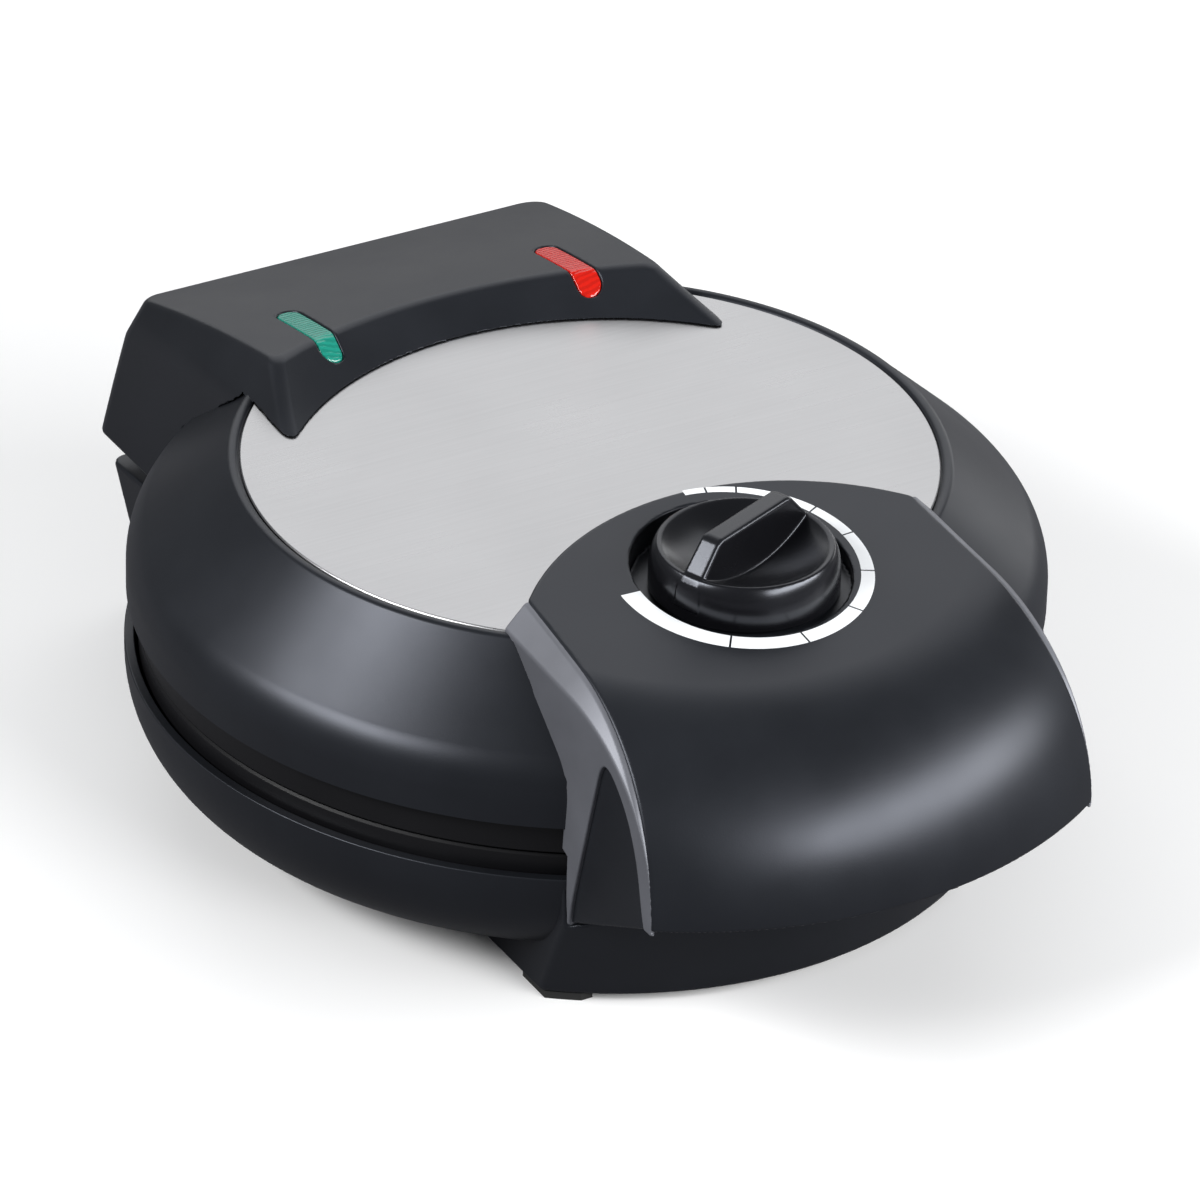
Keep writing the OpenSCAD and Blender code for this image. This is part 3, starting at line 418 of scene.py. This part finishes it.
SATIN = moulded("satin_black_plastic", (0.0085, 0.0095, 0.0118), 0.36, specular=0.42, tone=(0.84, 0.88, 1.0))
GLOSS = moulded(
    "knob_black_plastic", (0.004, 0.004, 0.005), 0.25, grain=0.000004, specular=0.55, tone=(0.86, 0.9, 1.0))
INNER = moulded("inner_black_plastic", (0.02, 0.02, 0.022), 0.6, grain=0.00002)
GREY = moulded("grey_trim_plastic", (0.155, 0.16, 0.18), 0.46, grain=0.000008, metallic=0.45)
RUBBER = moulded("rubber", (0.018, 0.018, 0.018), 0.75, grain=0.00003)
PALE = moulded("pale_moulding", (0.62, 0.58, 0.48), 0.5)
CERAMIC = moulded("ceramic", (0.74, 0.71, 0.62), 0.35)
PRINT = moulded("white_print", (0.86, 0.88, 0.9), 0.5, grain=0.000002)
DISC = metal("brushed_disc_steel", (0.45, 0.45, 0.459), 0.3, (5, 260, 260), 6, depth=0.000001, streak=0.02)
SHEET = metal("rolled_aluminium", (0.75, 0.75, 0.76), 0.35, (120, 6, 120), 6)
PLATED = metal("plated_steel", (0.55, 0.54, 0.52), 0.35)
STEEL = metal("plain_steel", (0.36, 0.36, 0.37), 0.38)
TUBE = metal("heater_tube", (0.2, 0.17, 0.15), 0.45, scale=900)
CAST = moulded("non_stick_coating", (0.006, 0.006, 0.007), 0.36, grain=0.00001, specular=0.25)
GREEN = lens_material("green_lens_plastic", (0.012, 0.3, 0.22))
RED = lens_material("red_lens_plastic", (0.7, 0.012, 0.004))
LAMP = moulded("lamp_glass", (0.8, 0.62, 0.4), 0.1, grain=0.000001)

BY_SLOT = {
    "satin_black": SATIN, "inner_black": INNER, "grey_trim": GREY, "brushed_disc": DISC,
    "bright_sheet": SHEET, "cast_plate": CAST, "heater_tube": TUBE, "plated_steel": PLATED,
    "hinge_steel": STEEL, "rubber": RUBBER, "green_lens": GREEN, "red_lens": RED,
    "lamp_glass": LAMP, "pale_moulding": PALE, "ceramic": CERAMIC,
}

for part in frame["record"]["subparts"]:
    mesh = NODES[part["node"]].data
    mesh.materials.clear()
    mesh.materials.append(BY_SLOT[part["material_slot"]])


# ---------- lid ----------

def lid_profile():
    """The lid shell's closed section as (radius, height)."""
    shoulder_c = LID_R - SHOULDER_R
    shoulder_z = SLOPE_SUM - LID_R - SHOULDER_R * (math.sqrt(2) - 1)
    inner_sum = SLOPE_SUM - WALL * math.sqrt(2)
    under = DISC_LOW[2] - WALL
    outer = [(LID_R, LID_RIM_Z)] + arc(shoulder_c, shoulder_z, SHOULDER_R, 0, 45, 14)
    # a small rolled bead runs around the disc
    bead = arc(SEAT_R + 1.6, BEAD_TOP - BEAD_R, BEAD_R, 30, 145, 10)
    seat = [(SEAT_R, DISC_Z - 1), (SEAT_R, DISC_LOW[2]), (LID_HOLE_R, DISC_LOW[2]), (LID_HOLE_R, under)]
    inner = [(inner_sum - under, under)] + arc(shoulder_c, shoulder_z, SHOULDER_R - WALL, 45, 0, 10)
    return outer + bead + seat + inner + [(LID_R - WALL, LID_RIM_Z)]


def lid_space(x, y, z, over_disc=0.5):
    """What a piece on the lid leaves free: it sinks a little into the moulding and stays above the disc."""
    r = np.hypot(x, y)
    moulding = np.maximum(np.maximum(r - LID_R, (r + z - SLOPE_SUM) / math.sqrt(2)), z - BEAD_TOP) + SINK
    return np.minimum(moulding, np.maximum(r - SEAT_R, z - DISC_Z - over_disc))


lid = revolve("lid_skin", lid_profile(), SATIN)
drill(lid, 0, KNOB[1], 8, 80, BEAD_Z + 5)
soften_edges(lid)
place(lid, "lid", "satin_black", "lid_shell")


def disc_outline():
    """The disc's circle, with a bay at the front that the handle cover hides."""
    y = (DISC_R ** 2 - BAY_R ** 2 + BAY_Y ** 2) / (2 * BAY_Y)
    x = math.sqrt(DISC_R ** 2 - y ** 2)
    rim_end = math.degrees(math.atan2(y, x))
    bay_end = math.degrees(math.atan2(y - BAY_Y, x))
    rim = arc(0, 0, DISC_R, rim_end, 180 - rim_end, 220)
    bay = arc(0, BAY_Y, BAY_R, 180 - bay_end, bay_end, 60)
    return rim + bay[1:-1]


disc = soften_edges(plate("disc_skin", disc_outline(), DISC_LOW[2], DISC_Z, DISC), 0.9)
place(disc, "lid", "brushed_disc", "top_disc")


# ---------- front handle ----------

def ridge_x(y):
    """Half width of the handle cover between its two side edges."""
    t = np.clip((RIDGE_FROM - y) / RIDGE_LEN, -0.2, 1.3)
    return RIDGE_X + 3.2 * t + 4.3 * t ** 3


def top_height(y):
    """Height of the handle's sloping top face."""
    return TOP_AT[1] + SLOPE * (y - TOP_AT[0])


def crown(x, y, z):
    """The cover's top face: a slope that falls to the lip along a quarter ellipse."""
    flat = top_height(y)
    inward = HANDLE_R - np.hypot(x, y - HANDLE_C)
    q = np.clip(1 - inward / CROWN, 0, None)
    return (np.sqrt(q * q + ((z - LIP_Z) / (flat - LIP_Z)) ** 2) - 1) * 48


crown_distance = true_distance(crown)


def crown_height(x, y):
    """Height of the cover's top face."""
    flat = top_height(y)
    q = np.clip(1 - (HANDLE_R - np.hypot(x, y - HANDLE_C)) / CROWN, 0, 1)
    return LIP_Z + (flat - LIP_Z) * np.sqrt(1 - q * q)


def cover_block(x, y, z):
    """The handle cover's outside, as if it were solid."""
    side = np.abs(x) - ridge_x(y)
    rear = np.hypot(x, y - REAR_ARC_C) - REAR_ARC_R
    return both(COVER_EDGE, crown_distance(x, y, z), side, rear)


def front_cover(x, y, z):
    """The handle cover's shell, with the knob's recess in a cup of its own."""
    outer = cover_block(x, y, z)
    s = z - KNOB[2]
    r = np.hypot(x, y - KNOB[1] - RECESS_SHIFT)
    cup = np.maximum(r - RECESS_R - COVER_T, RECESS_FLOOR - CUP_T - s)
    shell = np.maximum(outer, np.minimum(-outer - COVER_T, cup))
    shell = minus(0.5, shell, np.maximum(r - RECESS_R, RECESS_FLOOR - s))
    shell = both(0.7, shell, LIP_Z - z)
    shell = np.maximum(shell, SHAFT_HOLE_R - np.hypot(x, y - KNOB[1]))
    return np.maximum(shell, -lid_space(x, y, z))


cover = carve("handle_cover_skin", front_cover, COVER_LOW, COVER_HIGH + [0, 0, 1], 0.62, SATIN)
place(cover, "lid", "satin_black", "front_cover")


def smooth(points):
    """Cuts the corners of an open line twice, keeping its ends."""
    for _ in range(2):
        cut = [points[0]]
        for (ax, ay), (bx, by) in zip(points, points[1:]):
            cut += [(0.75 * ax + 0.25 * bx, 0.75 * ay + 0.25 * by)]
            cut += [(0.25 * ax + 0.75 * bx, 0.25 * ay + 0.75 * by)]
        points = cut + [points[-1]]
    return points


# The line between the trim's two legs, seen from the side as (y, z).
# It goes up the rear leg's front edge, over the apex and down the front leg's rear edge.
BETWEEN_LEGS = smooth([
    (-100.9, 28.4), (-102.4, 38), (-104.9, 50), (-107.4, 62), (-109.3, 71), (-110.9, 78.2), (-114, 80.2),
    (-119.2, 77), (-124.4, 71.6), (-128.4, 65.2), (-131.2, 58), (-133.4, 50.5), (-134.8, 46.9),
])
TRIM_OUTLINE = [
    (-56, 104), (-56, 84), (-92, 62), (-96.2, 47.4), (-98.6, 46.6), (-99.3, 36), (-100.1, 28.4)
] + BETWEEN_LEGS + [(-150, 46.9), (-150, 104)]


def trim_side(z):
    """Half width across the trims' lower faces, which widen a little downwards."""
    return np.minimum(60.3 + 0.035 * (88 - z), TRIM_X - 0.05)


# The trim's upper face falls outwards by 1 for each TRIM_FALL of width.
TRIM_FALL = 0.95
TRIM_EDGE = 0.5
TRIM_END_Y = -63.6


def trim(x, y, z):
    """The right-hand trim: two faces that meet along a crease, cut to the outline with its two legs."""
    ridge = ridge_x(y)
    edge_z = crown_height(ridge, y)
    upper = (x - ridge - 0.2 - TRIM_FALL * (edge_z - z)) * 0.725
    lower = x - trim_side(z)
    face = both(TRIM_EDGE, upper, lower, z - edge_z + 0.5)
    ahead = np.hypot(x, y - HANDLE_C) - HANDLE_R
    solid = both(TRIM_EDGE, polygon(TRIM_OUTLINE, y, z), ahead, face, y - TRIM_END_Y)
    # the band reaches a little into the cover's wall
    solid = np.maximum(solid, ridge - 1.2 - x)
    return np.maximum(solid, -lid_space(x, y, z))


def left_trim(x, y, z):
    return trim(-x, y, z)


TRIM_STEP = 0.42
right = carve("trim_skin_right", trim, (52, -140, 27), (TRIM_X, -62, 99), TRIM_STEP, GREY)
left = carve("trim_skin_left", left_trim, (-TRIM_X, -140, 27), (-52, -62, 99), TRIM_STEP, GREY)
place(right, "lid", "grey_trim", "right_trim")
place(left, "lid", "grey_trim", "left_trim")

# The liner closes the handle from below, and its cheeks fill the gap between the trim's legs.
SEAM_Y, SEAM_Z, SEAM_SLOPE = -99.9, 28.2, 0.526
CHEEK_RECESS = 1.1
SEAM_END = (-137.5, SEAM_Z + 37.6 * SEAM_SLOPE)
LINER_SIDE = [
    (-99.2, 48), (SEAM_Y, SEAM_Z), SEAM_END, (-137.5, 52), (-130, 68), (-118, 80), (-110, 84), (-107, 70)
]
LINER_FLOOR = [(-97, 47.9), (SEAM_Y, SEAM_Z), SEAM_END, (FRONT_Y, 47.9)]


def handle_liner(x, y, z):
    """The cheeks between the trims' legs, and the tray between the cheeks."""
    ax = np.abs(x)
    side = ax - trim_side(z) + CHEEK_RECESS
    cheek = both(0.5, polygon(LINER_SIDE, y, z), side, ridge_x(y) - 2 - ax)
    ahead = np.hypot(x, y - HANDLE_C) - HANDLE_R
    tray = both(0.6, polygon(LINER_FLOOR, y, z), side, ahead + COVER_T + 0.4)
    solid = np.minimum(np.maximum(cheek, ahead + 0.2), tray)
    return np.maximum(solid, BASE_R + 0.6 - np.hypot(x, y))


liner = carve("handle_liner_skin", handle_liner, (-62, FRONT_Y, 27), (62, -90, 86), 0.7, SATIN)
place(liner, "lid", "satin_black", "handle_liner")


# ---------- dial ----------

def knob(x, y, z):
    """A drum with a shallow bowl in its top, which a grip bar crosses towards the pointer."""
    u, v, s = x, y - KNOB[1], z - KNOB[2]
    r = np.hypot(u, v)
    shoulder = np.sqrt(1 - (np.clip(s - 1, 0, 7.6) / 7.9) ** 2)
    wall = (r - (KNOB_R + KNOB_FLARE * shoulder)) * 0.85
    body = both(0.45, wall, s - KNOB_TOP, KNOB_FOOT - s)
    bowl = np.sqrt(r * r + (s - BOWL_FLOOR - BOWL_SPHERE_R) ** 2) - BOWL_SPHERE_R
    along = np.abs(u * math.cos(POINTER) + v * math.sin(POINTER))
    aside = np.abs(v * math.cos(POINTER) - u * math.sin(POINTER))
    # the bar's sides draw in a little upwards, and its ends slope
    bar_side = (aside - GRIP_HALF_W + 0.03 * (s - 8)) * 0.99
    bar_end = (along - GRIP_LEN - 0.9 * (GRIP_TOP - s)) * 0.74
    bar = both(1.1, bar_side, bar_end, s - GRIP_TOP)
    bar = np.maximum(bar, wall)
    scooped = minus(0.4, body, both(0.3, bowl, GRIP_HALF_W - 0.5 - aside))
    solid = either(0.5, scooped, np.maximum(bar, -s))
    shaft_hole = np.maximum(r - 3.0, s - 1.5)
    return np.maximum(solid, -shaft_hole)


knob_skin = carve("knob_skin", knob, *extent("knob"), 0.4, GLOSS)
place(knob_skin, "knob", "satin_black", "knob")


def dial_point(angle, radius, up):
    """A point above the handle's top face, at an angle in degrees counted from +X."""
    a = math.radians(angle)
    y = SCALE_Y + radius * math.sin(a)
    return (radius * math.cos(a), y, top_height(y) + up)


# The printed scale: bars between these angles, thin at the first and thick at the last.
SCALE_STOPS = [86, 75.3, 61.5, 45, 25, 2.4, -26, -56, -90, -125, -183]
SCALE_GAP = 0.55


def scale_width(angle):
    """Width of the printed band, which grows from its first end to its last."""
    t = (SCALE_STOPS[0] - angle) / (SCALE_STOPS[0] - SCALE_STOPS[-1])
    return 1.9 + 3.3 * t


def printed_bar(name, start, end, low, high):
    """One bar of the scale, between two angles and two heights over the cover's top face."""
    half_gap = math.degrees(SCALE_GAP / 2 / SCALE_R)
    steps = max(4, int(abs(start - end) / 2))
    angles = np.linspace(start - half_gap, end + half_gap, steps + 1)
    points = []
    for a in angles:
        inner, outer = SCALE_R - scale_width(a), SCALE_R
        section = ((inner, low), (outer, low), (outer, high), (inner, high))
        points += [dial_point(a, r, up) for r, up in section]
    faces = [(0, 1, 2, 3), tuple(4 * steps + k for k in (3, 2, 1, 0))]
    for i in range(steps):
        for k in range(4):
            a, b = 4 * i + k, 4 * i + (k + 1) % 4
            faces.append((a, a + 4, b + 4, b))
    bar = mesh_object(name, points, faces, PRINT)
    bar.data.polygons.foreach_set("use_smooth", [False] * len(bar.data.polygons))
    place(bar, "lid", "satin_black")


for i, (start, end) in enumerate(zip(SCALE_STOPS, SCALE_STOPS[1:])):
    printed_bar(f"scale_bar_{i}", start, end, -0.05, 0.06)


# ---------- rear housing ----------

def housing_block(x, y, z):
    """The housing's outside, as if it were solid, with its front wall hollowed to an arch over the disc."""
    ax = np.abs(x)
    back = y - HOUSING_Y
    top_z = HOUSING_TOP - 0.147 * back - 0.0012 * back ** 2
    top = (z - top_z) * 0.97
    # the sides lean in above a crease that runs to the rear
    lean = 0.71 - 0.0038 * back
    upper = (ax - 55.6 - 0.053 * back - lean * (top_z - z)) / np.sqrt(1 + lean ** 2)
    over_hem = z - HOUSING_HEM
    lower = ax - (REAR_HIGH[0] - 0.1 - 0.135 * over_hem + 0.0008 * (133 - y) * over_hem)
    drop = 84.6 - z
    rear = (y - (130.7 + 0.25 * drop - 0.0011 * drop ** 2)) * 0.97
    arch = (84 + 1.405 * (z - DISC_Z) - np.hypot(x, y + 18.5)) / math.hypot(1, 1.405)
    walls = both(1.4, upper, lower)
    walls = both(5.5, walls, rear)
    lobes = both(3.2, walls, arch)
    return both(1.1, top, lobes)


def lens_column(x, y, r):
    return stadium(np.abs(x), y, LENS_X, LENS_FROM, LENS_TO, r)


def rear_cover(x, y, z):
    """The housing's shell, with its lens slots and the slots that let the hinge ears pass."""
    outer = housing_block(x, y, z)
    shell = np.maximum(outer, -outer - WALL)
    shell = minus(0.55, shell, lens_column(x, y, LENS_R + LENS_GAP))
    shell = both(0.8, shell, REAR_LOW[2] - z)
    ear_slot = np.maximum(np.abs(np.abs(x) - EAR_X) - EAR_SLOT, z - HINGE[2] - 3.1)
    shell = minus(0.3, shell, np.maximum(ear_slot, 131 - y))
    return np.maximum(shell, -lid_space(x, y, z, 0.1))


housing = carve("rear_cover_skin", rear_cover, REAR_LOW, REAR_HIGH, 0.62, SATIN)
place(housing, "lid", "satin_black", "rear_cover")


def lens(x, y, z):
    """Both lenses, 0.15 below the housing's surface; carve takes the one inside its box."""
    outer = housing_block(x, y, z)
    return both(0.5, lens_column(x, y, LENS_R - LENS_GAP), outer + 0.15, -outer - 3.2)


for name, node, material, slot in (
    ("lens_skin_green", "ready_lens", GREEN, "green_lens"),
    ("lens_skin_red", "power_lens", RED, "red_lens"),
):
    place(carve(name, lens, *extent(node), 0.35, material), "lid", slot, node)


# ---------- base ----------

BOWL_HOLE_R = 58
BOWL_FLAT_R = 94.5
BOWL_CORNER_Z = 36.0
BOWL_Z = 11.0
BOWL_RIM_Z = 39.2


def bowl_corner(inset):
    """The quarter ellipse from the bowl's flat bottom up to its wall, moved inwards by inset."""
    rx, rz = BASE_R - BOWL_FLAT_R - inset, BOWL_CORNER_Z - BOWL_Z - inset
    angles = np.radians(np.linspace(-90, 0, 19))
    return [(BOWL_FLAT_R + rx * math.cos(a), BOWL_CORNER_Z + rz * math.sin(a)) for a in angles]


def bowl_profile():
    """The bowl's closed section as (radius, height)."""
    rim = [(BASE_R, BOWL_RIM_Z), (BASE_R - WALL, BOWL_RIM_Z)]
    outer = [(BOWL_HOLE_R, BOWL_Z)] + bowl_corner(0)
    inner = bowl_corner(WALL)[::-1] + [(BOWL_HOLE_R, BOWL_Z + WALL)]
    return outer + rim + inner


bowl = soften_edges(revolve("base_bowl_skin", bowl_profile(), SATIN))
place(bowl, "base", "satin_black", "base_shell")


def bowl_space(x, y, z):
    """Negative inside the bowl's outer surface."""
    r = np.maximum(np.hypot(x, y) - BOWL_FLAT_R, 0) / (BASE_R - BOWL_FLAT_R)
    h = np.clip(BOWL_CORNER_Z - z, 0, None) / (BOWL_CORNER_Z - BOWL_Z)
    return (np.hypot(r, h) - 1) * 21


FOOT_Z = 2
GRIP_X = 62
EAR_HOLE = 4.3
GRIP_OUTLINE = [
    (-50, FOOT_Z), (-125, FOOT_Z), (-125, SEAM_Z - 1 + 25.1 * SEAM_SLOPE), (SEAM_Y + 0.7, SEAM_Z - 1.4),
    (-97.5, 40), (-97, 42), (-50, 42),
]


def grip(x, y, z):
    """The base's grip under the handle: its outside and its hollow."""
    front = (np.hypot(x, y + 10) - 100 - 0.332 * (z - FOOT_Z)) * 0.95
    side = np.abs(x) - GRIP_X
    outer = both(0.9, polygon(GRIP_OUTLINE, y, z), side, front)
    inner = np.maximum(np.maximum(side, front), z - 27 + SEAM_SLOPE * (y + 99)) + WALL
    return outer, inner


def block(x, y, z):
    """The base's rear block under the housing: its outside and its hollow."""
    side = (np.abs(x) - 61.0 - 0.135 * (z - FOOT_Z)) * 0.99
    rear = (y - 124.3 - 0.247 * z) * 0.97
    top = z - np.maximum(37.4, 39.4 - 0.07 * (y - 108))
    outer = both(1.1, both(4, side, rear), top, np.maximum(FOOT_Z - z, 50 - y))
    inner = np.maximum(np.maximum(np.maximum(side, rear), top) + WALL, 50 - y)
    return outer, inner


# The pads that carry the feet, as (x, low y, high y).
PAD_BOXES = ((56.2, -94, -78), (55.0, 109.5, 123.5))
PAD_HALF_W = 5.6
WIRING_Z = 8.8


def base_feet(x, y, z):
    """The grip and the block under the bowl, open towards it, with their foot pads."""
    grip_outer, grip_inner = grip(x, y, z)
    block_outer, block_inner = block(x, y, z)
    outer = np.minimum(grip_outer, block_outer)
    solid = np.maximum(outer, -np.minimum(grip_inner, block_inner))
    for cx, y0, y1 in PAD_BOXES:
        pad = np.maximum(slab(y, y0, y1), slab(z, FOOT_Z, WIRING_Z))
        pad = np.maximum(np.abs(np.abs(x) - cx) - PAD_HALF_W, pad)
        solid = np.minimum(solid, np.maximum(pad, outer))
    ears = np.maximum(slab(y, 115.8, 128.2), 30 - z)
    ears = np.maximum(np.abs(np.abs(x) - EAR_X) - EAR_HOLE, ears)
    gland = np.maximum(np.hypot(x - 30, (z - 18) * 0.97 + (y - 128.8) * 0.24) - 6, 118 - y)
    # holes for the hinge ears and for the leaning cord gland
    solid = minus(0.3, minus(0.3, solid, ears), gland)
    return np.maximum(solid, -bowl_space(x, y, z) - 0.8)


feet = carve("base_grip_and_block_skin", base_feet, (-67, -125, 1.5), (67, 135, 43), 0.85, SATIN)
place(feet, "base", "satin_black", "base_shell")


# ---------- floor, light and camera ----------

CAMERA_DISTANCE = 2.0
FLOOR_HALF = 30.0
# Each light's name, place, width and height in metres, and power in watts.
LIGHTS = (
    ("left_soft", (-1.22, 0.11, 0.93), (0.95, 0.4), 21),
    ("front_soft", (0.74, -1.17, 0.66), (1.9, 0.45), 36),
    ("back_soft", (0.63, 1.09, 1.05), (1.6, 1.2), 7.5),
    ("right_card", (1.59, 0.74, 0.24), (1.0, 0.46), 2.5),
    ("back_card", (0.82, 1.54, 0.24), (1.4, 0.46), 1.0),
)
LIGHT_TARGET = (0, 0, 0.06)


def photo_camera():
    """The viewing angle of a long lens, with its small roll."""
    data = bpy.data.cameras.new("camera")
    data.lens = 249.4
    data.sensor_width = 36
    data.clip_end = 20
    cam = bpy.data.objects.new("camera", data)
    bpy.context.scene.collection.objects.link(cam)
    target = Vector((-32.51, -61.43 + AXIS_Y, 90)) * MM
    azimuth, elevation, roll = math.radians(-30.78), math.radians(31.22), math.radians(1.76)
    level = math.cos(elevation)
    back = Vector((math.sin(azimuth) * level, -math.cos(azimuth) * level, math.sin(elevation)))
    cam.location = target + back * CAMERA_DISTANCE
    turn = (target - cam.location).to_track_quat("-Z", "Y").to_matrix().to_4x4()
    turn.translation = cam.location
    cam.matrix_world = turn @ Matrix.Rotation(roll, 4, "Z")
    bpy.context.scene.camera = cam


def area_light(name, location, size, power):
    data = bpy.data.lights.new(name, "AREA")
    data.shape = "RECTANGLE"
    data.size, data.size_y = size
    data.energy = power
    lamp = bpy.data.objects.new(name, data)
    bpy.context.scene.collection.objects.link(lamp)
    lamp.location = location
    lamp.rotation_euler = (Vector(LIGHT_TARGET) - Vector(location)).to_track_quat("-Z", "Y").to_euler()


def pale_floor():
    floor_mesh = bpy.data.meshes.new("floor")
    s = FLOOR_HALF
    floor_mesh.from_pydata([(-s, -s, 0), (s, -s, 0), (s, s, 0), (-s, s, 0)], [], [(0, 1, 2, 3)])
    floor = bpy.data.objects.new("floor", floor_mesh)
    bpy.context.scene.collection.objects.link(floor)
    m, nodes, links, shader = new_material("pale_floor")
    # the floor is white where it is seen, and throws less of its light back up at the object
    path = nodes.new("ShaderNodeLightPath")
    shade = tint(nodes, links, path.outputs["Is Camera Ray"], (0.17, 0.17, 0.18), (0.94, 0.94, 0.94))
    links.new(shade, shader.inputs["Base Color"])
    shader.inputs["Roughness"].default_value = 0.9
    shader.inputs["Specular IOR Level"].default_value = 0.1
    floor_mesh.materials.append(m)


def soft_light():
    """A dim, slightly blue sky and the area lights."""
    world = bpy.data.worlds.new("world")
    world.use_nodes = True
    sky = world.node_tree.nodes["Background"]
    sky.inputs["Color"].default_value = (0.93, 0.96, 1, 1)
    sky.inputs["Strength"].default_value = 0.2
    bpy.context.scene.world = world
    for name, location, size, power in LIGHTS:
        area_light(name, location, size, power)
    bpy.context.scene.view_settings.view_transform = "Standard"


photo_camera()
pale_floor()
soft_light()
